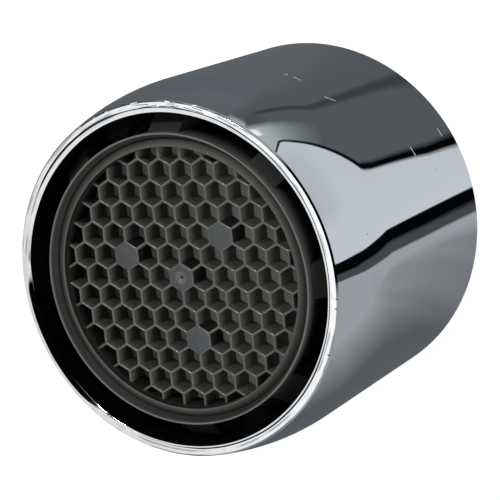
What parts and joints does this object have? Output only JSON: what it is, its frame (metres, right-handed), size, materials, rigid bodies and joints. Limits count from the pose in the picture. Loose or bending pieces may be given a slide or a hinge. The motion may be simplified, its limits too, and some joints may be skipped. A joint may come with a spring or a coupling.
{
  "type": "tap aerator",
  "caption": "Chromed female-thread tap aerator: drawn-in cylindrical shell around a plastic insert with air slots, sieve, mixing grid and recessed honeycomb outlet.",
  "frame": {"origin": "centre of the inlet face, where the shell meets the surface that it stands on", "axes": "+Z along the bore axis from the threaded inlet to the honeycomb outlet, +X to the right and +Y up when the outlet is seen from the front with two sides of each cell upright"},
  "size_m": [0.024, 0.024, 0.02],
  "materials": {
    "chrome_plate": "bright chromium plate over brass, with a worn rim",
    "rubber": "smooth black rubber",
    "grey_plastic": "satin dark warm grey moulded plastic",
    "dark_plastic": "satin near-black moulded plastic"
  },
  "bodies": {
    "root": {"shell": "chrome_plate", "sealing_washer": "rubber", "strainer": "dark_plastic", "jet_plate": "dark_plastic", "insert_sleeve": "grey_plastic", "mixing_grid": "grey_plastic", "outlet_honeycomb": "grey_plastic"}
  },
  "joints": []
}
